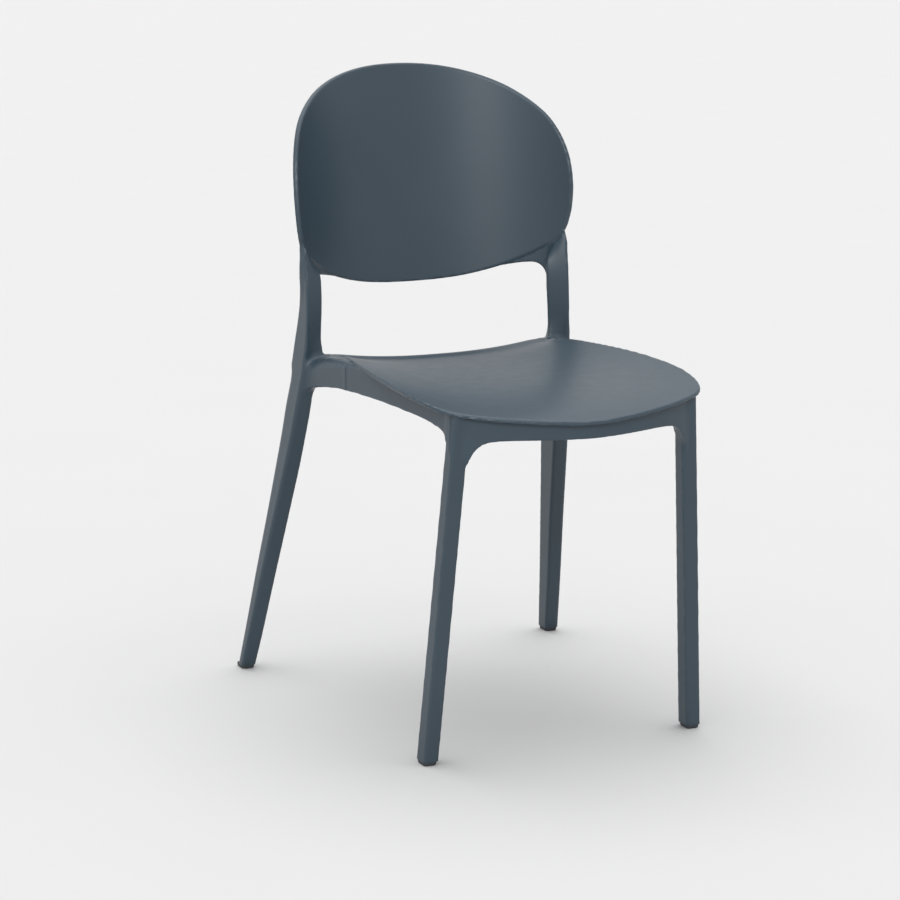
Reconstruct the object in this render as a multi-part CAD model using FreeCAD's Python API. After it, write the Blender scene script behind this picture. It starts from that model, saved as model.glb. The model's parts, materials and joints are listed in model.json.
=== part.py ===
import FreeCAD, Part
import math
import os
from FreeCAD import Vector as V

# Stacking chair, knock-down polypropylene type, millimetres.
# Front of the chair faces -Y, +Z up, X across. Origin on the floor at the
# centre of the bounding box.

# ------------------------------------------------------------ driving sizes
Y_SHIFT = 38.0            # moves the body so that Y is centred on the origin
GLIDE_H = 5.0             # height of the pad below each leg
WALL = 5.5                # general plate thickness
SHELL_R = 235.0           # plan radius of the backrest middle surface
SHELL_T = 6.5             # backrest thickness
SHELL_LEAN = 0.125        # backrest lean, mm back per mm up
SHELL_Y0 = 216.0          # middle surface on the centre line at SHELL_Z0
SHELL_Z0 = 548.0
RAIL_A = (188.6, 110.0)   # outer face of the side rail in plan, rear point
RAIL_B = (164.6, -270.0)  # outer face of the side rail in plan, front point
JOINT_Y = 0.0             # where the two mouldings meet along the side rail
STUB_T = 10.0             # wall of the back frame's arm
TONGUE_T = 15.0           # seat moulding's tongue behind the arm
BOLT_Y = (28.0, 66.0)     # joint bolts along each arm
BOLT_Z = 432.5
BOLT_D = 6.0
BOLT_CLEAR_D = 6.6
HEAD_D = 10.5
HEAD_H = 3.3
WASHER_D = 14.0
WASHER_T = 1.4
INSERT_D = 8.6
INSERT_L = 8.5
REAR_SCREW_X = (-95.0, 95.0)
REAR_SCREW_D = 4.8
SHELF_TOP = 404.0         # ledge of the rear rail that carries the seat
STEM_R = 4.0
STEM_CLEAR = 0.05

os.makedirs("parts", exist_ok=True)


def lerp(table, t):
    if t <= table[0][0]:
        return table[0][1]
    for (a, va), (b, vb) in zip(table, table[1:]):
        if t <= b:
            s = (t - a) / (b - a)
            return va + (vb - va) * s
    return table[-1][1]


def rrect(cx, cy, w, d, ang, r, z):
    """Rounded rectangle wire at height z, four lines and four arcs."""
    c, s = math.cos(math.radians(ang)), math.sin(math.radians(ang))

    def p(x, y):
        return V(cx + c * x - s * y, cy + s * x + c * y, z)

    a, b = w / 2.0, d / 2.0
    k = r * (1 - math.sqrt(0.5))
    corners = [(a, -b, a - r, -b, a - k, -b + k, a, -b + r),
               (a, b, a, b - r, a - k, b - k, a - r, b),
               (-a, b, -a + r, b, -a + k, b - k, -a, b - r),
               (-a, -b, -a, -b + r, -a + k, -b + k, -a + r, -b)]
    edges = []
    for i, q in enumerate(corners):
        edges.append(Part.Arc(p(q[2], q[3]), p(q[4], q[5]), p(q[6], q[7])).toShape())
        n = corners[(i + 1) % 4]
        edges.append(Part.LineSegment(p(q[6], q[7]), p(n[2], n[3])).toShape())
    return Part.Wire(edges)


def loft(rows):
    return Part.makeLoft([rrect(*row) for row in rows], True, False)


def mirror(shape):
    return shape.mirror(V(0, 0, 0), V(1, 0, 0))


def spline(points):
    c = Part.BSplineCurve()
    c.interpolate([V(*q) for q in points])
    return c.toShape()


# ------------------------------------------------------------ seat surface
# centre-line height, rise toward the sides and half width, all along Y
SEAT_ZC = [(-352, 416.0), (-333, 423.2), (-313, 428.2), (-290, 431.6), (-260, 434.2),
           (-215, 436.0), (-176, 436.4), (-117, 435.4), (-59, 434.0), (0, 432.5),
           (59, 431.2), (100, 430.6), (135, 430.6)]
SEAT_K = [(-352, 4.0), (-313, 5.5), (-260, 10.0), (-215, 13.4), (-176, 16.0), (-117, 20.0),
          (-59, 24.2), (0, 29.0), (40, 32.5), (59, 33.0), (90, 26.5), (119, 20.0), (135, 18.5)]
SEAT_HALF = [(119, 158.0), (90, 158.8), (59, 160.3), (39, 164.4), (19.6, 168.6), (0, 172.6),
             (-20, 176.2), (-59, 182.4), (-98, 187.2), (-135, 190.0), (-170, 191.2),
             (-194, 191.0), (-213, 189.8), (-232, 187.2), (-250, 183.4), (-265.5, 178.0),
             (-276, 172.2), (-282.8, 166.0), (-288, 158.6), (-293, 149.4), (-299.4, 136.0),
             (-307.6, 115.5), (-313.6, 97.0), (-319.0, 79.5), (-323.6, 62.5), (-327.6, 44.0),
             (-331.6, 21.0), (-333, 0.0)]


def seat_z(x, y):
    return lerp(SEAT_ZC, y) + lerp(SEAT_K, y) * (abs(x) / 190.0) ** 2.4


def seat_surface():
    xs = [-204 + 24 * i for i in range(18)]
    ys = [-352, -333, -313, -290, -260, -215, -176, -117, -59, 0, 40, 59, 90, 119, 135]
    grid = [[V(x, y, seat_z(x, y)) for y in ys] for x in xs]
    s = Part.BSplineSurface()
    s.interpolate(grid)
    return s.toShape()


def seat_outline(inset=0.0, z=380.0):
    def turn(y):
        return math.radians(max(0.0, min(1.0, (-y - 200) / 120.0)) * 90)

    pts = [(h - inset * math.cos(turn(y)), y + inset * math.sin(turn(y)))
           for y, h in SEAT_HALF if h > inset + 8]
    right = [(x, y, z) for x, y in pts]
    front = (0.0, -333.0 + inset, z)
    left = [(-x, y, z) for x, y in reversed(pts)]
    curve = spline(right + [front] + left)
    back = Part.LineSegment(V(*left[-1]), V(*right[0])).toShape()
    return Part.Face(Part.Wire([curve, back]))


top_face = seat_surface()
below_seat = top_face.extrude(V(0, 0, -470))
slab = top_face.extrude(V(0, 0, -WALL))
column = seat_outline().extrude(V(0, 0, 140))
seat_plate = slab.common(column)

# ------------------------------------------------------------ side rails
dx, dy = RAIL_B[0] - RAIL_A[0], RAIL_B[1] - RAIL_A[1]
length = math.hypot(dx, dy)
NX, NY = -dy / length, dx / length        # outward normal of the right-hand rail


def rail_x(y):
    return RAIL_A[0] + (y - RAIL_A[1]) * dx / dy


def rail_prism(profile, offset, thick):
    """Profile of (y, z) on the rail's outer face, pushed inward."""
    pts = [V(rail_x(y) - NX * offset, y - NY * offset, z) for y, z in profile]
    face = Part.Face(Part.makePolygon(pts + [pts[0]]))
    return face.extrude(V(-NX * thick, -NY * thick, 0))


rail_profile = [(-282, 380), (-268, 398), (-263, 405), (-256, 410), (-246, 413.2), (-230, 415.6),
                (-202, 418), (-147, 419.8), (-89, 420.4), (-29, 419.6), (JOINT_Y, 418.6),
                (JOINT_Y, 462), (-282, 462)]
side_rail = rail_prism(rail_profile, 0.0, 5.0)
# thick block just ahead of the joint and the tongue that runs behind the arm
block = rail_prism([(-26, 420), (JOINT_Y, 418.9), (JOINT_Y, 447.5), (-26, 447.5)], 0.0,
                   STUB_T + TONGUE_T)
tongue = rail_prism([(JOINT_Y - 1, 419.4), (40, 418), (82.5, 415), (82.5, 446.6), (JOINT_Y - 1, 446.6)],
                    STUB_T, TONGUE_T)
rails = side_rail.fuse(block).common(below_seat).fuse(tongue)

# ------------------------------------------------------------ front legs
def front_leg_row(z):
    cx = 182.0 - 0.0690 * z
    cy = -247.0 - 0.0655 * z
    w = 19.3 + 1.4 * z / 400.0
    d = 24.5 - 4.0 * z / 400.0
    return (cx, cy, w, d, 0.0, 5.5, z)


front_leg = loft([front_leg_row(z) for z in (GLIDE_H, 115, 225, 335, 446)]).common(below_seat)

# front apron follows the front edge of the seat, just behind the lip
outer = seat_outline(7.0, 376.0)
inner = seat_outline(12.0, 376.0)
band = outer.cut(inner).extrude(V(0, 0, 82))
keep = Part.makeBox(304, 82, 100, V(-152, -345, 370))
band = band.common(keep)
arch_pts = [(-170, -350, 340), (-146, -350, 376), (-143, -350, 384), (-138, -350, 392), (-132, -350, 397.2),
            (-124, -350, 400.6), (-112, -350, 402), (-95, -350, 402.2)]
arch = arch_pts + [(-50, -350, 401.5), (0, -350, 401), (50, -350, 401.5)]
arch = arch + [(-x, y, z) for x, y, z in reversed(arch_pts)]
arch = arch + [(170, -350, 300), (-170, -350, 300), (-170, -350, 340)]
arch_cut = Part.Face(Part.makePolygon([V(*q) for q in arch])).extrude(V(0, 110, 0))
apron = band.cut(arch_cut).common(below_seat)

# two bosses under the rear of the seat for the rear screws
bosses = [Part.makeCylinder(6.5, 40, V(x, 100, SHELF_TOP)).common(below_seat) for x in REAR_SCREW_X]

seat_frame = seat_plate
for piece in (rails, mirror(rails), front_leg, mirror(front_leg), apron, bosses[0], bosses[1]):
    seat_frame = seat_frame.fuse(piece)

# ------------------------------------------------------------ back frame
# height, centre x, centre y, width, depth, turn
POST = [
    (5, 230.3, 244.6, 20.0, 25.0, 0), (50, 225.2, 231.2, 20.3, 26.8, 0),
    (100, 219.7, 217.5, 20.6, 28.6, 0), (150, 214.1, 203.9, 20.9, 29.9, 0),
    (200, 208.5, 190.6, 21.2, 31.6, 0), (250, 202.9, 177.2, 21.4, 34.4, 0),
    (300, 197.3, 163.9, 21.5, 39.2, 0), (340, 193.0, 154.6, 21.4, 42.8, 0),
    (380, 188.9, 146.6, 21.2, 46.2, 0), (410, 186.0, 141.0, 21.0, 48.6, 0), (430, 183.95, 137.2, 21.5, 48.8, 0),
    (445, 181.85, 134.1, 22.9, 47.8, 0), (458, 179.65, 131.8, 24.9, 46.8, 0),
    (472, 177.95, 129.6, 26.3, 44.5, 0), (486, 176.95, 127.4, 27.1, 41.2, 0),
    (500, 176.35, 125.6, 27.5, 37.6, 0), (520, 176.1, 123.4, 27.5, 32.0, -2),
    (540, 177.0, 126.0, 26.0, 27.0, -12), (555, 178.5, 131.5, 25.0, 21.0, -26),
    (570, 180.5, 136.5, 24.0, 16.0, -38), (585, 182.4, 139.2, 22.0, 12.5, -44),
    (600, 183.6, 141.5, 19.0, 10.0, -48), (620, 184.4, 144.5, 15.0, 6.5, -52),
]
post = loft([(cx, cy, w, d, turn, min(6.0, 0.3 * min(w, d)), z) for z, cx, cy, w, d, turn in POST])

# the upright above the seat: its front face turns inward and its inner rear side slants away
# height, outer x, front y, rear y, width of the front face, turn, inner thickness, clearance
FACE = [
    (436, 194.2, 111.8, 160.0, 22.5, 10, 12.0, 14.0), (458, 192.1, 108.4, 155.2, 27.0, 23, 9.0, 0.0),
    (472, 191.1, 107.3, 151.8, 29.8, 28, 8.5, 0.0), (500, 190.1, 106.8, 144.4, 31.4, 29, 8.5, 0.0),
    (525, 189.8, 107.8, 138.0, 31.6, 29, 8.5, 0.0), (560, 189.6, 112.0, 138.0, 33.0, 31, 14.0, 12.0),
]


def wedge(side):
    wires = []
    for z, xo, yf, yr, w, turn, thick, clear in FACE:
        c, q = math.cos(math.radians(turn)), math.sin(math.radians(turn))
        corner_in = (xo - w * c, yf + w * q)
        if side == "front":
            p, e = (xo, yf), (-c, q)
            n = (-q, -c)
            ends = (-14.0, w + 16.0)
        else:
            p = (corner_in[0] + thick * q, corner_in[1] + thick * c)
            e = (xo - 8.0 - p[0], yr - p[1])
            m = math.hypot(*e)
            e = (e[0] / m, e[1] / m)
            n = (-e[1], e[0])
            ends = (-26.0, m + 14.0)
        p = (p[0] + n[0] * clear, p[1] + n[1] * clear)
        k = 30.0
        pts = [V(p[0] + e[0] * t, p[1] + e[1] * t, z) for t in ends]
        pts += [V(p[0] + e[0] * t + n[0] * k, p[1] + e[1] * t + n[1] * k, z) for t in reversed(ends)]
        wires.append(Part.makePolygon(pts + pts[:1]))
    return Part.makeLoft(wires, True, True)


post = post.cut(wedge("front")).cut(wedge("rear"))

# backrest: curved sheet cut by its front outline
tilt = math.degrees(math.atan(SHELL_LEAN))


def shell_cylinder(radius):
    base_z = 480.0
    base_y = SHELL_Y0 + SHELL_LEAN * (base_z - SHELL_Z0) - SHELL_R
    axis = V(0, math.sin(math.radians(tilt)), math.cos(math.radians(tilt)))
    return Part.makeCylinder(radius, 400, V(0, base_y, base_z) - axis * 20, axis)


BACK_HALF = [(0, 519.3), (40, 520.6), (78, 525.4), (117, 536.0), (146.7, 549.6), (166, 561.5),
             (181, 573.8), (190.0, 588.5), (194.6, 606), (197.4, 625), (198.6, 645), (198.5, 665),
             (197.0, 685), (193.6, 703.8), (187.6, 723.2), (177.8, 742.4), (160.6, 761.6),
             (134.2, 780.6), (97, 796.2), (52, 806.2), (0, 809.5)]
right_half = [(x, 60.0, z) for x, z in BACK_HALF]
left_half = [(-x, 60.0, z) for x, z in BACK_HALF[1:-1]]
ring = Part.BSplineCurve()
ring.interpolate([V(*q) for q in right_half + list(reversed(left_half))], True)
outline = Part.Face(Part.Wire([ring.toShape()])).extrude(V(0, 220, 0))
backrest = shell_cylinder(SHELL_R + SHELL_T / 2).cut(shell_cylinder(SHELL_R - SHELL_T / 2))
backrest = backrest.common(outline)
# nothing stands in front of the backrest inside its outline
post = post.cut(shell_cylinder(SHELL_R - SHELL_T / 2 + 1.2).common(outline))

# web that rounds the upper corner of the back opening, a little behind the backrest's front
WEB = [(92, 530.0), (110, 533.3), (127.6, 537.5), (144.4, 540.7), (158.4, 542.8), (168, 543.6), (176, 543.3),
       (182.4, 541.0), (187, 537.0), (190.6, 531.0), (193.2, 522.0), (194.6, 512.0), (201, 512), (209, 545),
       (212, 572), (205, 590), (180, 596), (120, 566), (100, 548)]
web_pts = [V(SHELL_R * math.sin(q / SHELL_R), 60.0, z) for q, z in WEB]
web = Part.Face(Part.makePolygon(web_pts + web_pts[:1])).extrude(V(0, 220, 0))
web = web.common(shell_cylinder(SHELL_R + SHELL_T / 2).cut(shell_cylinder(SHELL_R - SHELL_T / 2 + 1.2)))

# arm that reaches forward to the seat moulding
arm_profile = [(JOINT_Y, 418.6), (31, 416.6), (62, 412.8), (95, 407.4), (118, 400.5), (128, 392),
               (150, 386), (150, 440), (116, 444.0), (100, 445.5), (60, 447.0), (JOINT_Y, 447.0)]
arm = rail_prism(arm_profile, 0.0, STUB_T)
corner_pts = [(158.9, 84.4), (rail_x(84.4) - 3, 84.4), (rail_x(130) - 8, 131.0), (158.9, 131.0)]
corner = Part.Face(Part.makePolygon([V(x, y, 413) for x, y in corner_pts + corner_pts[:1]]))
corner = corner.extrude(V(0, 0, 33.2)).common(below_seat)

# rear cross rail, its top flush with the rear edge of the seat
rear_top = [(x, 119.2, seat_z(x, 119.0)) for x in range(-176, 177, 16)]
rear_edge = spline(rear_top)
a, b = rear_top[-1], rear_top[0]
poly = Part.makePolygon([V(*a), V(176, 119.2, 404), V(120, 119.2, 401), V(0, 119.2, 399),
                         V(-120, 119.2, 401), V(-176, 119.2, 404), V(*b)])
rear_rail = Part.Face(Part.Wire([rear_edge] + poly.Edges)).extrude(V(0, 12.5, 0))
# shelf under the rear bosses of the seat
shelf = Part.makeBox(250, 32, 4.0, V(-125, 90.0, SHELF_TOP - 4.0))

back_frame = backrest
for piece in (post, mirror(post), web, mirror(web), arm, mirror(arm), corner, mirror(corner), rear_rail, shelf):
    back_frame = back_frame.fuse(piece)


# ------------------------------------------------------------ glides
def leg_axis(rear):
    return V(-0.1105, -0.275, 1.0) if rear else V(-0.069, -0.0655, 1.0)


glides = {}
for name, rear, side in (("glide_front_left", False, 1), ("glide_front_right", False, -1),
                         ("glide_rear_left", True, 1), ("glide_rear_right", True, -1)):
    row = (POST[0][1], POST[0][2], 20.0, 25.0, 0.0, 6.0, 0.0) if rear else front_leg_row(0.0)
    cx, cy, w, d = row[0], row[1], row[2], row[3]
    r = 5.0
    pad = loft([rrect_row for rrect_row in [
        (cx, cy, w - 4.0, d - 4.0, 0.0, r - 1.2, 0.0),
        (cx, cy, w - 1.6, d - 1.6, 0.0, r, 2.0)]])
    pad = pad.fuse(loft([(cx, cy, w - 1.6, d - 1.6, 0.0, r, 2.0),
                         (cx, cy, w - 1.2, d - 1.2, 0.0, r, GLIDE_H)]))
    axis = leg_axis(rear)
    base = V(cx, cy, 3.0)
    stem = Part.makeCylinder(STEM_R, 22.0, base, axis)
    hole = Part.makeCylinder(STEM_R + STEM_CLEAR, 23.5, base, axis)
    pad = pad.fuse(stem).removeSplitter()
    if side < 0:
        pad, hole = mirror(pad), mirror(hole)
    glides[name] = pad
    if rear:
        back_frame = back_frame.cut(hole)
    else:
        seat_frame = seat_frame.cut(hole)

# ------------------------------------------------------------ joint hardware
N = V(NX, NY, 0)


def on_rail(y, inward, z):
    return V(rail_x(y) - NX * inward, y - NY * inward, z)


bolts, washers, inserts = [], [], []
for y in BOLT_Y:
    face = on_rail(y, STUB_T, BOLT_Z)                 # arm meets tongue
    head_face = on_rail(y, STUB_T + TONGUE_T, BOLT_Z)  # inner face of the tongue
    insert = Part.makeCylinder(INSERT_D / 2, INSERT_L, face, N)
    insert = insert.cut(Part.makeCylinder(BOLT_D / 2 + 0.05, INSERT_L + 2, face - N, N))
    seat = Part.makeCylinder(INSERT_D / 2, INSERT_L + 0.02, face, N)
    clear = Part.makeCylinder(BOLT_CLEAR_D / 2, TONGUE_T + 2, head_face - N, N)
    washer = Part.makeCylinder(WASHER_D / 2, WASHER_T, head_face - N * WASHER_T, N)
    washer = washer.cut(Part.makeCylinder(BOLT_CLEAR_D / 2, 6, head_face - N * 4, N))
    under = head_face - N * WASHER_T
    shank = Part.makeCylinder(BOLT_D / 2, WASHER_T + TONGUE_T + INSERT_L - 1.0, under, N)
    head = Part.makeCylinder(HEAD_D / 2, HEAD_H, under - N * HEAD_H, N)
    rim = [e for e in head.Edges if isinstance(e.Curve, Part.Circle)
           and (e.Curve.Center - (under - N * HEAD_H)).Length < 0.01]
    head = head.makeFillet(1.8, rim)
    hexagon = []
    for i in range(7):
        t = math.radians(60 * i)
        up = V(0, 0, 1)
        across = N.cross(up)
        hexagon.append(under - N * (HEAD_H + 0.5) + up * (2.3 * math.cos(t)) + across * (2.3 * math.sin(t)))
    socket = Part.Face(Part.makePolygon(hexagon)).extrude(N * 2.7)
    bolt = shank.fuse(head).cut(socket).removeSplitter()
    for sign in (1, -1):
        m = (lambda q: q) if sign > 0 else mirror
        bolts.append(m(bolt))
        washers.append(m(washer))
        inserts.append(m(insert))
        back_frame = back_frame.cut(m(seat))
        seat_frame = seat_frame.cut(m(clear))

screws = []
for x in REAR_SCREW_X:
    low = V(x, 100, SHELF_TOP - 4.0)
    shank = Part.makeCylinder(REAR_SCREW_D / 2, 19.0, low)
    head = Part.makeCone(3.0, 4.6, 2.4, low - V(0, 0, 2.4))
    slot = Part.makeBox(1.2, 5.6, 1.4, low - V(0.6, 2.8, 2.5)).fuse(
        Part.makeBox(5.6, 1.2, 1.4, low - V(2.8, 0.6, 2.5)))
    screws.append(shank.fuse(head).cut(slot).removeSplitter())
    back_frame = back_frame.cut(Part.makeCylinder(REAR_SCREW_D / 2 + 0.1, 8, low - V(0, 0, 2)))
    seat_frame = seat_frame.cut(Part.makeCylinder(REAR_SCREW_D / 2 + 0.05, 16.0, V(x, 100, SHELF_TOP - 0.5)))

nodes = {
    "back_frame": back_frame, "seat_frame": seat_frame,
    "joint_bolts": Part.makeCompound(bolts), "joint_washers": Part.makeCompound(washers),
    "joint_inserts": Part.makeCompound(inserts), "rear_seat_screws": Part.makeCompound(screws),
}
nodes.update(glides)
for name, shape in nodes.items():
    if len(shape.Solids) == 1:
        shape = shape.Solids[0]
    shape = shape.copy()
    shape.translate(V(0, Y_SHIFT, 0))
    nodes[name] = shape
    print(name, shape.isValid(), len(shape.Solids), round(shape.Volume))
    shape.exportStep("parts/" + name + ".step")
names = list(nodes)
for i, p in enumerate(names):
    for q in names[i + 1:]:
        if nodes[p].BoundBox.intersect(nodes[q].BoundBox):
            v = nodes[p].common(nodes[q]).Volume
            if v > 0.01:
                print("overlap", p, q, round(v, 2))
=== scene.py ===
import json
import math

import bpy
import numpy as np
from mathutils import Matrix, Vector

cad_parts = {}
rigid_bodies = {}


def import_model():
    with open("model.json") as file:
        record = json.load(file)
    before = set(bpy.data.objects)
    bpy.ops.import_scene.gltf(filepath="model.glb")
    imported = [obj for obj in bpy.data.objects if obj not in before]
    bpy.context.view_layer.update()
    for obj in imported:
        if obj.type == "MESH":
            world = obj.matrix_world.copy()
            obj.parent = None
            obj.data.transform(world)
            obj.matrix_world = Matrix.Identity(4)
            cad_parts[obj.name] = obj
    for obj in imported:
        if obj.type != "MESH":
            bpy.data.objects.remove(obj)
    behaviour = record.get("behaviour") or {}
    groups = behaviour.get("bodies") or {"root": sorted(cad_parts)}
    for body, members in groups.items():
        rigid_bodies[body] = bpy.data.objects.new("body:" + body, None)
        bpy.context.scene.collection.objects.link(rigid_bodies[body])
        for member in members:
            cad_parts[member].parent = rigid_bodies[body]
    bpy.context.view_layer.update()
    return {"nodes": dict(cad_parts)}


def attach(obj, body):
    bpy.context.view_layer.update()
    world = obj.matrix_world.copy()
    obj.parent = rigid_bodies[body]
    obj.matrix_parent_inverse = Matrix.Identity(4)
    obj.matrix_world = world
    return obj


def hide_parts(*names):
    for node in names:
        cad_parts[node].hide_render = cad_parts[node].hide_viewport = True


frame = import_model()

Y_SHIFT = 38.0
VOX = 2.2

# ---------------------------------------------------------------- numbers (mm, as in the CAD frame before the shift)
GLIDE_H = 5.0
WALL = 5.5
SHELL_R = 235.0
SHELL_T = 6.5
SHELL_LEAN = 0.125
SHELL_Y0 = 216.0
SHELL_Z0 = 548.0
RAIL_A = np.array((188.6, 110.0))
RAIL_B = np.array((164.6, -270.0))
JOINT_Y = 0.0
STUB_T = 10.0
TONGUE_T = 15.0
BOLT_Y = (28.0, 66.0)
BOLT_Z = 432.5
SHELF_TOP = 404.0
REAR_SCREW_X = 95.0

SEAT_ZC = [(-352, 416.0), (-333, 423.2), (-313, 428.2), (-290, 431.6), (-260, 434.2),
           (-215, 436.0), (-176, 436.4), (-117, 435.4), (-59, 434.0), (0, 432.5),
           (59, 431.2), (100, 430.6), (135, 430.6)]
SEAT_K = [(-352, 4.0), (-313, 5.5), (-260, 10.0), (-215, 13.4), (-176, 16.0), (-117, 20.0),
          (-59, 24.2), (0, 29.0), (40, 32.5), (59, 33.0), (90, 26.5), (119, 20.0), (135, 18.5)]
SEAT_HALF = [(119, 158.0), (90, 158.8), (59, 160.3), (39, 164.4), (19.6, 168.6), (0, 172.6),
             (-20, 176.2), (-59, 182.4), (-98, 187.2), (-135, 190.0), (-170, 191.2),
             (-194, 191.0), (-213, 189.8), (-232, 187.2), (-250, 183.4), (-265.5, 178.0),
             (-276, 172.2), (-282.8, 166.0), (-288, 158.6), (-293, 149.4), (-299.4, 136.0),
             (-307.6, 115.5), (-313.6, 97.0), (-319.0, 79.5), (-323.6, 62.5), (-327.6, 44.0),
             (-331.6, 21.0), (-333, 0.0)]
BACK_HALF = [(0, 519.3), (40, 520.6), (78, 525.4), (117, 536.0), (146.7, 549.6), (166, 561.5),
             (181, 573.8), (190.0, 588.5), (194.6, 606), (197.4, 625), (198.6, 645), (198.5, 665),
             (197.0, 685), (193.6, 703.8), (187.6, 723.2), (177.8, 742.4), (160.6, 761.6),
             (134.2, 780.6), (97, 796.0), (52, 805.8), (0, 809.0)]
ARCH = [(0, 401), (40, 401.3), (66, 401.8), (95, 402.2), (112, 402.0), (124, 400.6), (132, 397.2),
        (138, 392.0), (143, 384.0), (146, 376.0), (160, 330.0)]
APRON_IN = 7.0
# backrest web at the corner of the back opening: arc length round the shell, height
WEB = [(92, 529.0), (110, 533.3), (127.6, 537.5), (144.4, 540.7), (158.4, 542.8), (168, 543.6), (176, 543.3),
       (182.4, 541.0), (187, 537.0), (190.6, 531.0), (193.2, 522.0), (194.6, 512.0)]
# height, outer x, front y, rear y, front face width, turn of the front face, inner edge thickness, corner rounding
UPRIGHT = [
    (5, 240.3, 232.1, 257.1, 20.0, 0, 40, 4.5), (50, 235.4, 217.8, 245.2, 20.6, 0, 42, 6),
    (100, 230.2, 203.0, 232.6, 21.1, 0, 44, 8), (150, 224.8, 188.6, 220.4, 21.6, 0, 46, 8),
    (200, 219.3, 173.6, 208.2, 22.0, 0, 50, 8), (250, 213.9, 158.2, 196.6, 22.2, 0, 55, 8),
    (300, 208.4, 143.0, 185.8, 22.2, 0, 60, 8), (340, 204.0, 132.4, 178.2, 21.8, 0, 64, 8),
    (380, 199.7, 123.3, 171.2, 21.4, 0, 66, 8), (410, 196.6, 116.8, 164.8, 21.2, 1, 66, 8),
    (430, 194.7, 112.8, 157.8, 26.0, 6, 44, 8), (445, 193.3, 110.2, 155.2, 30.6, 14, 18, 8),
    (458, 192.1, 108.4, 153.0, 30.6, 23, 10, 8), (472, 191.1, 107.3, 149.0, 30.8, 28, 8.5, 7),
    (486, 190.5, 106.8, 144.8, 31.0, 29, 8.5, 7), (500, 190.1, 106.8, 141.0, 31.4, 29, 8.5, 7),
    (525, 189.8, 107.4, 134.6, 31.6, 29, 8, 7), (545, 189.6, 109.0, 131.0, 32.0, 31, 8, 6),
    (562, 189.4, 111.8, 130.0, 33.0, 36, 8, 5), (580, 189.2, 116.0, 128.0, 34.0, 42, 8, 4),
    (600, 188.8, 120.0, 127.0, 34.0, 46, 8, 4),
]
RAIL_LOW = [(-300, 380), (-282, 380), (-268, 398), (-263, 405), (-256, 410), (-246, 413.2), (-230, 415.6),
            (-202, 418), (-147, 419.8), (-89, 420.4), (-29, 419.6), (0, 418.6),
            (31, 416.6), (62, 412.8), (95, 407.4), (118, 400.5), (128, 392), (150, 386)]


# ---------------------------------------------------------------- small numeric tools
def smooth_table(points, step=0.5):
    """Natural cubic spline through the points, as a dense table."""
    x = np.array([p[0] for p in points], float)
    y = np.array([p[1] for p in points], float)
    order = np.argsort(x)
    x, y = x[order], y[order]
    n = len(x)
    h = np.diff(x)
    a = np.zeros((n, n))
    b = np.zeros(n)
    a[0, 0] = a[-1, -1] = 1
    for i in range(1, n - 1):
        a[i, i - 1], a[i, i], a[i, i + 1] = h[i - 1], 2 * (h[i - 1] + h[i]), h[i]
        b[i] = 3 * ((y[i + 1] - y[i]) / h[i] - (y[i] - y[i - 1]) / h[i - 1])
    c = np.linalg.solve(a, b)
    xs = np.arange(x[0], x[-1] + step, step)
    k = np.clip(np.searchsorted(x, xs) - 1, 0, n - 2)
    d = (c[k + 1] - c[k]) / (3 * h[k])
    bb = (y[k + 1] - y[k]) / h[k] - h[k] * (2 * c[k] + c[k + 1]) / 3
    t = xs - x[k]
    return xs, y[k] + bb * t + c[k] * t * t + d * t ** 3


def closed_curve(points, n=900):
    """Periodic Catmull-Rom curve (centripetal spacing is not needed here)."""
    p = np.array(points, float)
    m = len(p)
    out = []
    per = n // m + 1
    for i in range(m):
        p0, p1, p2, p3 = p[i - 1], p[i], p[(i + 1) % m], p[(i + 2) % m]
        t = np.linspace(0, 1, per, endpoint=False)[:, None]
        out.append(0.5 * (2 * p1 + (p2 - p0) * t + (2 * p0 - 5 * p1 + 4 * p2 - p3) * t ** 2
                          + (3 * p1 - p0 - 3 * p2 + p3) * t ** 3))
    return np.vstack(out)


class Flat:
    """Signed distance to a closed plane outline, kept on a fine grid."""

    def __init__(self, poly, lo, hi, step=1.5):
        self.lo, self.step = np.array(lo, float), step
        self.n = (np.ceil((np.array(hi, float) - self.lo) / step).astype(int) + 1)
        gx = self.lo[0] + step * np.arange(self.n[0])
        gy = self.lo[1] + step * np.arange(self.n[1])
        a = poly
        b = np.roll(poly, -1, axis=0)
        e = b - a
        l2 = (e ** 2).sum(1) + 1e-12
        g = np.zeros(self.n)
        for i, x in enumerate(gx):
            px = x - a[:, 0][:, None]
            py = gy[None, :] - a[:, 1][:, None]
            t = np.clip((px * e[:, 0][:, None] + py * e[:, 1][:, None]) / l2[:, None], 0, 1)
            d2 = (px - t * e[:, 0][:, None]) ** 2 + (py - t * e[:, 1][:, None]) ** 2
            dist = np.sqrt(d2.min(0))
            y0, y1 = a[:, 1][:, None], b[:, 1][:, None]
            x0 = a[:, 0][:, None]
            cross = ((y0 > gy[None, :]) != (y1 > gy[None, :]))
            with np.errstate(divide="ignore", invalid="ignore"):
                xi = x0 + (gy[None, :] - y0) / (y1 - y0) * e[:, 0][:, None]
            inside = (np.where(cross, x < xi, False).sum(0) % 2) == 1
            g[i] = np.where(inside, -dist, dist)
        self.g = g

    def __call__(self, x, y):
        u = np.clip((x - self.lo[0]) / self.step, 0, self.n[0] - 1.001)
        v = np.clip((y - self.lo[1]) / self.step, 0, self.n[1] - 1.001)
        i, j = u.astype(np.int32), v.astype(np.int32)
        u, v = u - i, v - j
        g = self.g
        return ((g[i, j] * (1 - u) + g[i + 1, j] * u) * (1 - v)
                + (g[i, j + 1] * (1 - u) + g[i + 1, j + 1] * u) * v)


def smin(a, b, k):
    h = np.maximum(k - np.abs(a - b), 0.0) / k
    return np.minimum(a, b) - h * h * k * 0.25


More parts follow.
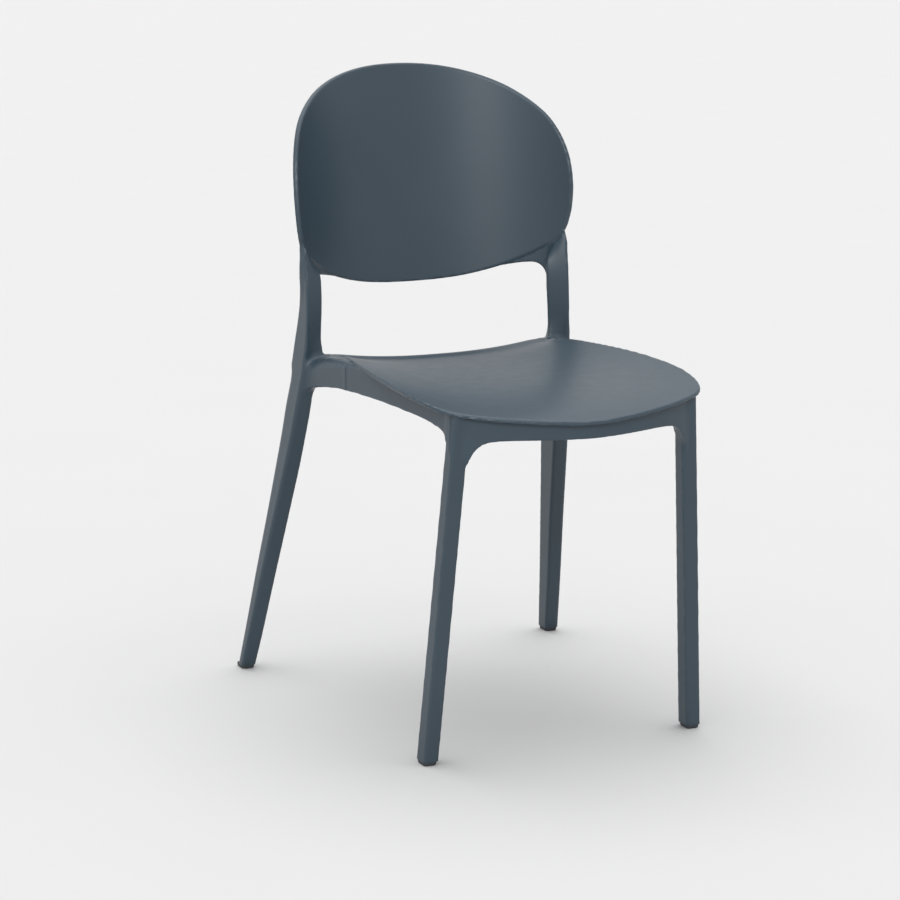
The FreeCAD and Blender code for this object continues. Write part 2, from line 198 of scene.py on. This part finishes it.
def smax(a, b, k):
    return -smin(-a, -b, k)


def round_and(a, b, r):
    """Intersection of two half spaces with a true round of radius r along the edge."""
    u, v = a + r, b + r
    return np.minimum(np.maximum(u, v), 0.0) + np.hypot(np.maximum(u, 0), np.maximum(v, 0)) - r


def rrect(u, v, a, b, r):
    qu, qv = np.abs(u) - a + r, np.abs(v) - b + r
    return np.minimum(np.maximum(qu, qv), 0.0) + np.hypot(np.maximum(qu, 0), np.maximum(qv, 0)) - r


# ---------------------------------------------------------------- shared surfaces
ZC = smooth_table(SEAT_ZC)
KK = smooth_table(SEAT_K)
LOW_Y = np.arange(-300, 150.5, 0.5)
ker = np.hanning(17)
ker /= ker.sum()
LOW_Z = np.convolve(np.pad(np.interp(LOW_Y, [p[0] for p in RAIL_LOW], [p[1] for p in RAIL_LOW]), 8, mode="edge"),
                    ker, mode="valid")
ARCH_X = np.arange(0, 160.5, 0.5)
ARCH_Z = np.convolve(np.pad(np.interp(ARCH_X, [p[0] for p in ARCH], [p[1] for p in ARCH]), 6, mode="edge"),
                     np.hanning(13) / np.hanning(13).sum(), mode="valid")


def seat_z(x, y):
    flat = 0.004 * np.clip((y - 60.0) / 45.0, 0, 1) * np.clip(np.abs(x) - 132.0, 0.0, 42.0) ** 2
    return np.interp(y, *ZC) + np.interp(y, *KK) * (np.abs(x) / 190.0) ** 2.4 - flat


seat_poly = closed_curve([(h, y) for y, h in SEAT_HALF[1:]] + [(-h, y) for y, h in reversed(SEAT_HALF[1:-1])]
                         + [(-158.0, 119), (-158.0, 160), (-80, 170), (0, 172), (80, 170), (158.0, 160), (158.0, 119)])
SEAT = Flat(seat_poly, (-8, -352), (215, 140))

back_ring = [(SHELL_R * math.asin(x / SHELL_R), z) for x, z in BACK_HALF]
back_poly = closed_curve(back_ring + [(-s, z) for s, z in reversed(back_ring[1:-1])])
BACK = Flat(back_poly, (-10, 440), (300, 830))
web_poly = closed_curve(WEB + [(204, 512), (214, 545), (219, 572), (219, 590), (205, 604), (180, 600), (120, 570), (100, 548)], 1200)
WEBF = Flat(web_poly, (80, 480), (300, 640))

post_cols = [smooth_table([(row[0], row[i]) for row in UPRIGHT], 1.0) for i in range(1, 8)]

D = RAIL_B - RAIL_A
D /= np.hypot(*D)
NX, NY = -D[1], D[0]


def rail_out(x, y):
    """Distance outward from the outer face of the side rail."""
    return (x - RAIL_A[0]) * NX + (y - RAIL_A[1]) * NY


def shell_uv(x, y, z):
    yc = SHELL_Y0 + SHELL_LEAN * (z - SHELL_Z0)
    v = y - (yc - SHELL_R)
    sheet = (np.hypot(x, v) - SHELL_R) * 0.9922
    return sheet, SHELL_R * np.arctan2(x, np.maximum(v, 1e-3))


def f_upright(x, y, z, sheet, edge, sarc):
    """Rear leg and upright: a rounded block whose front face turns inward above the seat."""
    xo, yf, yr, w, turn, ti, k = (np.interp(z, *c) for c in post_cols)
    kf = np.minimum(k, 5.0)
    t = np.radians(turn)
    c, s = np.cos(t), np.sin(t)
    dx, dy = x - xo, y - yf
    front = -dx * s - dy * c
    inner = -dx * c + dy * s - w
    outer = dx
    rear = y - yr
    # slanting rear-inner face, from the inner edge to the outer rear corner
    p1x, p1y = -w * c + ti * s, w * s + ti * c
    ex, ey = -p1x - 8.0, (yr - yf) - p1y
    ln = np.hypot(ex, ey)
    cut = (-(dx - p1x) * ey + (dy - p1y) * ex) / ln
    q = smax(smax(smax(outer, front, kf), rear, k), np.maximum(inner, cut), 4.0)
    q = q * 0.955
    # above, the upright passes behind the backrest
    step = 1.3 - 1.1 * np.clip((sarc - 185.0) / 30.0, 0, 1)
    under = -(sheet + SHELL_T / 2 - step + 1.05 * np.maximum(edge, 0.0)) * np.where(edge > 0, 0.72, 1.0)
    q = smax(q, np.where(z > 480, under, -60.0), 7.0)
    return np.maximum(np.maximum(q, GLIDE_H - z), z - 590.0)


def f_leg(x, y, z):
    cx = 182.0 - 0.0690 * z
    cy = -247.0 - 0.0655 * z
    w = 19.3 + 1.4 * z / 400.0
    d = 24.5 - 4.0 * z / 400.0
    q = rrect(x - cx, y - cy, w / 2, d / 2, 3.2) * 0.996
    return np.maximum(q, GLIDE_H - z)


def f_all(x, y, z):
    x = np.abs(x)
    sheet, s = shell_uv(x, y, z)
    edge = BACK(s, z)
    # backrest
    shell = round_and(np.abs(sheet) - SHELL_T / 2, edge, 2.6)
    step = 1.3 - 1.1 * np.clip((s - 185.0) / 30.0, 0, 1)
    web = round_and(np.abs(sheet - step / 2) - (SHELL_T - step) / 2, WEBF(s, z), 2.0)
    up = f_upright(x, y, z, sheet, edge, s)
    rib_t = 1.0 + 6.0 * np.clip((660.0 - z) / 100.0, 0, 1)
    rib = smax(np.abs(sheet - 1.0 - rib_t / 2) - rib_t / 2 - 1.0, np.maximum(smax(x - 187.0, y - 138.5 - (z - 590) * 0.125, 6.0), np.maximum(192.0 - s, 548.0 - z)), 5.0)
    rib = np.maximum(rib, (z - 664.0) * 0.6)
    rear = smin(smin(web, up, 12.0), rib, 6.0)
    clear = -(sheet + SHELL_T / 2 - step)
    back = np.minimum(shell, np.where(edge < 2.0, np.maximum(rear, clear), rear))
    # side rail and arm
    out = rail_out(x, y)
    low = np.interp(y, LOW_Y, LOW_Z)
    low_c = (low - z) * 0.96
    crown = np.interp(y, (-75.0, -45.0, -5.0, 30.0, 60.0, 110.0, 131.0), (0.6, 4.0, 8.0, 12.0, 16.0, 17.0, 14.0))
    top = np.interp(y, (-60.0, -40.0, -20.0, 0.0, 20.0, 40.0, 55.0, 70.0, 84.0, 100.0, 119.0, 131.0),
                    (456.5, 452.6, 452.4, 452.9, 452.8, 452.2, 451.2, 449.8, 446.6, 442.2, 439.4, 438.4))
    cap = round_and(out, z - top, crown)
    rail = round_and(np.abs(out + 2.5) - 2.5, low_c, 1.6)
    rail = np.where(y > -75.0, np.maximum(rail, cap), rail)
    rail = np.maximum(np.maximum(rail, y - 8.0), -275.0 - y)
    arm = round_and(np.maximum(out, -out - STUB_T), low_c, 2.6)
    arm = np.maximum(arm, np.maximum(-0.5 - y, y - 150.0))
    tongue = np.maximum(np.maximum(out + 2.0, -out - STUB_T - TONGUE_T), np.maximum(-26.0 - y, y - 84.0))
    tongue = np.maximum(tongue, (low + 1.2 - z) * 0.96)
    corner = np.maximum(np.maximum(158.0 - x, out + 3.0), np.maximum(83.0 - y, y - 131.0))
    corner = np.maximum(corner, 413.5 - z)
    side = smin(smin(arm, tongue, 1.5), corner, 3.0)
    side = np.maximum(side, cap)
    rear_rail = np.maximum(np.maximum(119.0 - y, y - 131.6), x - 172.0)
    rear_rail = round_and(rear_rail, np.maximum(z - seat_z(x, 119.0), 399.5 + 0.0002 * x * x - z), 2.0)
    side = smin(side, rear_rail, 8.0)
    body = smin(side, back, np.interp(y, (100.0, 118.0, 150.0), (14.0, 9.0, 3.0)))
    # the blend between arm and upright stays inside their outer faces
    skin = np.minimum(out, x - np.interp(z, *post_cols[0]))
    body = np.where((z > 385.0) & (z < 475.0) & (y > 84.0), np.maximum(body, skin), body)
    # seat plate
    zs = seat_z(x, y)
    plan = np.maximum(SEAT(x, y), y - 126.0)
    plate = round_and((np.abs(z - zs + WALL / 2) - WALL / 2) * 0.97, plan, 2.5)
    under = (z - zs + 2.0) * 0.97
    body_lo = np.where(y < 84.0, np.maximum(body, np.where(x < 178.0, under, -60.0)), body)
    leg = f_leg(x, y, z)
    fr = smin(leg, rail, 6.0)
    thick = 2.5 + 6.5 * np.clip((x - 124.0) / 16.0, 0, 1)
    band = np.abs(SEAT(x, y) + APRON_IN + thick) - thick
    arch = np.interp(x, ARCH_X, ARCH_Z)
    apron = round_and(np.maximum(band, np.maximum(x - 152.0, y + 262.0)), (arch - z) * 0.93, 1.6)
    # low on the leg the apron's end runs out flush with the leg's front face
    leg_front = -247.0 - 0.0655 * z - (12.25 - z / 200.0)
    apron = np.maximum(apron, leg_front + 0.4 - 8.5 * np.clip((z - 366.0) / 30.0, 0, 1)
                       - 1.6 * np.maximum(147.0 - x, 0.0) - y)
    fr = smin(fr, apron, 3.0)
    fr = np.maximum(fr, under)
    kk = 1.5 + 10.5 * np.clip((y - 48.0) / 30.0, 0, 1)
    f = smin(plate, fr, 1.2)
    f = smin(f, body_lo, kk)
    shelf = np.maximum(np.maximum(np.abs(z - (SHELF_TOP - 2)) - 2.0, x - 125.0), np.maximum(90.0 - y, y - 122.0))
    boss = np.hypot(x - REAR_SCREW_X, y - 100.0) - 6.5
    boss = np.maximum(np.maximum(boss, SHELF_TOP - z), under)
    return np.minimum(np.minimum(f, shelf), boss)


def f_side(x, y, z):
    """Negative on the seat moulding's side of the parting faces."""
    x = np.abs(x)
    out = rail_out(x, y)
    front = y - JOINT_Y
    plate = np.maximum(y - 119.1, x - 158.5)
    tongue = np.maximum(y - 83.6, out + STUB_T)
    g = np.minimum(np.minimum(front, plate), tongue)
    shelf = np.maximum(z - SHELF_TOP, y * 0 + (80.0 - y))
    return np.maximum(g, -shelf)


def f_back(x, y, z):
    g = f_side(x, y, z)
    f = np.maximum(f_all(x, y, z), 0.12 - g)
    return f


def f_seat(x, y, z):
    g = f_side(x, y, z)
    return np.maximum(f_all(x, y, z), g + 0.12)


# ---------------------------------------------------------------- surface extraction
def gradient(func, p, h=0.05):
    g = np.empty((len(p), 3))
    for a in range(3):
        d = [0.0, 0.0, 0.0]
        d[a] = h
        g[:, a] = (func(p[:, 0] + d[0], p[:, 1] + d[1], p[:, 2] + d[2])
                   - func(p[:, 0] - d[0], p[:, 1] - d[1], p[:, 2] - d[2]))
    return g / np.maximum(np.linalg.norm(g, axis=1), 1e-9)[:, None]


def surface(func, lo, hi, vox):
    """Dual contouring on a block-sparse grid; the model is symmetric, so half the field is sampled."""
    B = 8
    nb = [int(math.ceil(hi[0] / vox / B)), int(math.ceil((hi[1] - lo[1]) / vox / B)), int(math.ceil((hi[2] - lo[2]) / vox / B))]
    start = np.array([0.5 * vox, lo[1], lo[2]])
    half = np.empty((nb[0] * B, nb[1] * B, nb[2] * B), np.float32)
    blocks = np.array([(i, j, k) for i in range(nb[0]) for j in range(nb[1]) for k in range(nb[2])])
    centre = start + (blocks * B + (B - 1) / 2) * vox
    fc = func(centre[:, 0], centre[:, 1], centre[:, 2])
    reach = (B / 2 * vox) * 1.7321 * 1.35 + 3.0
    for (i, j, k), val in zip(blocks[np.abs(fc) > reach], fc[np.abs(fc) > reach]):
        half[i * B:i * B + B, j * B:j * B + B, k * B:k * B + B] = 20.0 if val > 0 else -20.0
    live = blocks[np.abs(fc) <= reach]
    off = np.stack(np.meshgrid(*[np.arange(B)] * 3, indexing="ij"), -1)
    for c in range(0, len(live), 192):
        part = live[c:c + 192]
        p = start + (part[:, None, None, None, :] * B + off) * vox
        val = func(p[..., 0], p[..., 1], p[..., 2])
        for q, (i, j, k) in enumerate(part):
            half[i * B:i * B + B, j * B:j * B + B, k * B:k * B + B] = val[q]
    f = np.concatenate([half[::-1], half], axis=0)
    origin = np.array([-start[0] - (half.shape[0] - 1) * vox, lo[1], lo[2]])
    inside = f < 0
    shape = np.array(f.shape) - 1
    stride = np.array([shape[1] * shape[2], shape[2], 1])
    ids, pts, nrm, quads = [], [], [], []
    for axis in range(3):
        sl0 = [slice(None)] * 3
        sl1 = [slice(None)] * 3
        sl0[axis], sl1[axis] = slice(0, -1), slice(1, None)
        a, b = inside[tuple(sl0)], inside[tuple(sl1)]
        e = np.argwhere(a != b)
        o1, o2 = [(1, 2), (2, 0), (0, 1)][axis]
        ok = (e[:, o1] > 0) & (e[:, o2] > 0) & (e[:, o1] < shape[o1]) & (e[:, o2] < shape[o2])
        e = e[ok]
        step = np.zeros(3, int)
        step[axis] = 1
        p0 = origin + e * vox
        p1 = p0 + step * vox
        f0 = f[tuple(e.T)].astype(float)
        f1 = f[tuple((e + step).T)].astype(float)
        t0, t1 = np.zeros(len(e)), np.ones(len(e))
        for _ in range(3):
            t = t0 + (t1 - t0) * np.clip(f0 / (f0 - f1), 0.05, 0.95)
            q = p0 + (p1 - p0) * t[:, None]
            ft = func(q[:, 0], q[:, 1], q[:, 2])
            same = (ft < 0) == (f0 < 0)
            t0, f0 = np.where(same, t, t0), np.where(same, ft, f0)
            t1, f1 = np.where(same, t1, t), np.where(same, f1, ft)
        t = t0 + (t1 - t0) * f0 / (f0 - f1)
        q = p0 + (p1 - p0) * t[:, None]
        n = gradient(func, q)
        d1, d2 = np.zeros(3, int), np.zeros(3, int)
        d1[o1], d2[o2] = 1, 1
        cells = [(e - d1 - d2) @ stride, (e - d2) @ stride, e @ stride, (e - d1) @ stride]
        quad = np.stack(cells, 1)
        flip = ~inside[tuple(e.T)]
        quad[flip] = quad[flip][:, ::-1]
        quads.append(quad)
        for c in cells:
            ids.append(c)
            pts.append(q)
            nrm.append(n)
    ids, pts, nrm = np.concatenate(ids), np.vstack(pts), np.vstack(nrm)
    uniq, inv = np.unique(ids, return_inverse=True)
    m = len(uniq)
    cnt = np.bincount(inv, minlength=m).astype(float)
    mass = np.stack([np.bincount(inv, pts[:, i], m) for i in range(3)], 1) / cnt[:, None]
    rel = pts - mass[inv]
    dn = (rel * nrm).sum(1)
    ata = np.zeros((m, 3, 3))
    for i in range(3):
        for j in range(i, 3):
            ata[:, i, j] = ata[:, j, i] = np.bincount(inv, nrm[:, i] * nrm[:, j], m)
    atb = np.stack([np.bincount(inv, nrm[:, i] * dn, m) for i in range(3)], 1)
    ata += np.eye(3) * (0.03 * cnt)[:, None, None]
    x = mass + np.linalg.solve(ata, atb[:, :, None])[:, :, 0]
    cell = np.stack([uniq // stride[0], (uniq // stride[1]) % shape[1], uniq % shape[2]], 1)
    lo_c = origin + cell * vox
    x = np.clip(x, lo_c - 0.05 * vox, lo_c + 1.05 * vox)
    quads = np.searchsorted(uniq, np.vstack(quads))
    return x, quads


def mesh_piece(name, v, faces, slot, material, *nodes):
    v = (v + np.array([0, Y_SHIFT, 0])) * 0.001
    me = bpy.data.meshes.new(name)
    me.from_pydata(v.tolist(), [], faces.tolist())
    me.polygons.foreach_set("use_smooth", [True] * len(me.polygons))
    me.update()
    me.validate()
    me.set_sharp_from_angle(angle=math.radians(40))
    o = bpy.data.objects.new(name, me)
    bpy.context.scene.collection.objects.link(o)
    o.data.materials.append(material)
    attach(o, "root")
    if nodes:
        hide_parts(*nodes)
    return o


# ---------------------------------------------------------------- materials
def node_material(name):
    m = bpy.data.materials.new(name)
    m.use_nodes = True
    nt = m.node_tree
    nt.nodes.clear()
    out = nt.nodes.new("ShaderNodeOutputMaterial")
    bsdf = nt.nodes.new("ShaderNodeBsdfPrincipled")
    nt.links.new(bsdf.outputs["BSDF"], out.inputs["Surface"])
    return m, nt, bsdf


def noise(nt, coord, scale, detail=3.0, rough=0.5):
    n = nt.nodes.new("ShaderNodeTexNoise")
    n.inputs["Scale"].default_value = scale
    n.inputs["Detail"].default_value = detail
    n.inputs["Roughness"].default_value = rough
    nt.links.new(coord, n.inputs["Vector"])
    return n


def ramp(nt, src, stops):
    r = nt.nodes.new("ShaderNodeValToRGB")
    nt.links.new(src, r.inputs["Fac"])
    e = r.color_ramp.elements
    while len(e) > 1:
        e.remove(e[-1])
    e[0].position, e[0].color = stops[0][0], stops[0][1]
    for pos, col in stops[1:]:
        k = e.new(pos)
        k.color = col
    return r


def moulded_plastic(name, base, light, dark, rough=(0.36, 0.45), grain=0.10):
    m, nt, bsdf = node_material(name)
    tc = nt.nodes.new("ShaderNodeTexCoord")
    co = tc.outputs["Object"]
    broad = noise(nt, co, 5.5, 2.0, 0.5)
    col = ramp(nt, broad.outputs["Fac"], [(0.30, (*dark, 1)), (0.52, (*base, 1)), (0.75, (*light, 1))])
    nt.links.new(col.outputs["Color"], bsdf.inputs["Base Color"])
    fine = noise(nt, co, 900.0, 2.0, 0.55)
    mid = noise(nt, co, 60.0, 3.0, 0.55)
    rr = nt.nodes.new("ShaderNodeMapRange")
    rr.inputs["To Min"].default_value, rr.inputs["To Max"].default_value = rough
    nt.links.new(mid.outputs["Fac"], rr.inputs["Value"])
    nt.links.new(rr.outputs["Result"], bsdf.inputs["Roughness"])
    bump = nt.nodes.new("ShaderNodeBump")
    bump.inputs["Strength"].default_value = grain
    bump.inputs["Distance"].default_value = 0.0003
    nt.links.new(fine.outputs["Fac"], bump.inputs["Height"])
    nt.links.new(bump.outputs["Normal"], bsdf.inputs["Normal"])
    bsdf.inputs["IOR"].default_value = 1.49
    bsdf.inputs["Specular IOR Level"].default_value = 0.45
    return m


def metal(name, base, rough):
    m, nt, bsdf = node_material(name)
    tc = nt.nodes.new("ShaderNodeTexCoord")
    n = noise(nt, tc.outputs["Object"], 350.0, 4.0, 0.6)
    col = ramp(nt, n.outputs["Fac"], [(0.3, (base[0] * 0.8, base[1] * 0.8, base[2] * 0.8, 1)), (0.7, (*base, 1))])
    nt.links.new(col.outputs["Color"], bsdf.inputs["Base Color"])
    rr = nt.nodes.new("ShaderNodeMapRange")
    rr.inputs["To Min"].default_value, rr.inputs["To Max"].default_value = rough
    nt.links.new(n.outputs["Fac"], rr.inputs["Value"])
    nt.links.new(rr.outputs["Result"], bsdf.inputs["Roughness"])
    bsdf.inputs["Metallic"].default_value = 1.0
    return m


SHELL = moulded_plastic("moulded_polypropylene", (0.028, 0.047, 0.064), (0.030, 0.050, 0.068), (0.026, 0.044, 0.060))
PAD = moulded_plastic("glide_plastic", (0.035, 0.040, 0.046), (0.045, 0.050, 0.056), (0.028, 0.032, 0.037), (0.55, 0.7), 0.2)
STEEL = metal("zinc_plated_steel", (0.60, 0.61, 0.63), (0.25, 0.42))
BRASS = metal("turned_brass", (0.75, 0.56, 0.26), (0.22, 0.38))

# ---------------------------------------------------------------- pieces
v, f = surface(f_back, (0, -6, 0.6), (252, 266, 816), VOX)
mesh_piece("back_frame_skin", v, f, "shell_plastic", SHELL, "back_frame")
v, f = surface(f_seat, (0, -342, 0.6), (206, 128, 470), VOX * 1.05)
mesh_piece("seat_frame_skin", v, f, "shell_plastic", SHELL, "seat_frame")

for name, o in frame["nodes"].items():
    if name in ("back_frame", "seat_frame"):
        continue
    m = PAD if name.startswith("glide") else BRASS if name == "joint_inserts" else STEEL
    o.data.materials.clear()
    o.data.materials.append(m)

# ---------------------------------------------------------------- floor, light, camera
me = bpy.data.meshes.new("floor")
S = 60.0
me.from_pydata([(-S, -S, 0), (S, -S, 0), (S, S, 0), (-S, S, 0)], [], [(0, 1, 2, 3)])
floor = bpy.data.objects.new("floor", me)
bpy.context.scene.collection.objects.link(floor)
m, nt, bsdf = node_material("studio_floor")
tc = nt.nodes.new("ShaderNodeTexCoord")
n = noise(nt, tc.outputs["Object"], 3.0, 2.0)
col = ramp(nt, n.outputs["Fac"], [(0.3, (0.600, 0.600, 0.600, 1)), (0.7, (0.606, 0.606, 0.606, 1))])
nt.links.new(col.outputs["Color"], bsdf.inputs["Base Color"])
bsdf.inputs["Roughness"].default_value = 0.8
floor.data.materials.append(m)

world = bpy.data.worlds.new("studio")
world.use_nodes = True
bpy.context.scene.world = world
bg = world.node_tree.nodes["Background"]
bg.inputs["Color"].default_value = (1.0, 1.0, 1.0, 1)
bg.inputs["Strength"].default_value = 0.86


def area(name, loc, target, size, power, colour=(1, 1, 1)):
    d = bpy.data.lights.new(name, "AREA")
    d.shape = "RECTANGLE"
    d.size, d.size_y = size
    d.energy = power
    d.color = colour
    o = bpy.data.objects.new(name, d)
    bpy.context.scene.collection.objects.link(o)
    o.location = loc
    o.rotation_euler = (Vector(target) - Vector(loc)).to_track_quat("-Z", "Y").to_euler()
    return o


def sun(name, direction, strength, angle):
    d = bpy.data.lights.new(name, "SUN")
    d.energy = strength
    d.angle = math.radians(angle)
    o = bpy.data.objects.new(name, d)
    bpy.context.scene.collection.objects.link(o)
    o.rotation_euler = (-Vector(direction)).to_track_quat("-Z", "Y").to_euler()
    return o


sun("top", (0.05, 0.15, 1.0), 1.78, 70)
key = area("key", (-1.6, -2.45, 2.15), (0, 0.1, 0.6), (1.6, 1.2), 56)
lit = bpy.data.collections.new("lit_by_key")
for o in list(bpy.context.scene.objects):
    if o.type == "MESH" and o is not floor:
        lit.objects.link(o)
key.light_linking.receiver_collection = lit

cam_data = bpy.data.cameras.new("camera")
cam = bpy.data.objects.new("camera", cam_data)
bpy.context.scene.collection.objects.link(cam)
cam_data.sensor_width = 36.0
cam_data.lens = 36.0 * 2800.0 / 900.0
K = 0.978
az, el = math.radians(-24.8257), math.radians(11.5944)
back = Vector((math.sin(az) * math.cos(el), -math.cos(az) * math.cos(el), math.sin(el)))
right = Vector((math.cos(az), math.sin(az), 0.0))
up = back.cross(right)
cam.location = (back * 3681.584 + right * -34.4725 + up * -113.9088 + Vector((0, 0, 450))) * (K * 0.001) + Vector((0, Y_SHIFT * 0.001, 0))
rot = Matrix((right, up, back)).transposed()
cam.rotation_mode = "QUATERNION"
cam.rotation_quaternion = rot.to_quaternion()
cam_data.clip_start, cam_data.clip_end = 0.1, 60.0
bpy.context.scene.camera = cam
bpy.context.scene.view_settings.view_transform = "Standard"
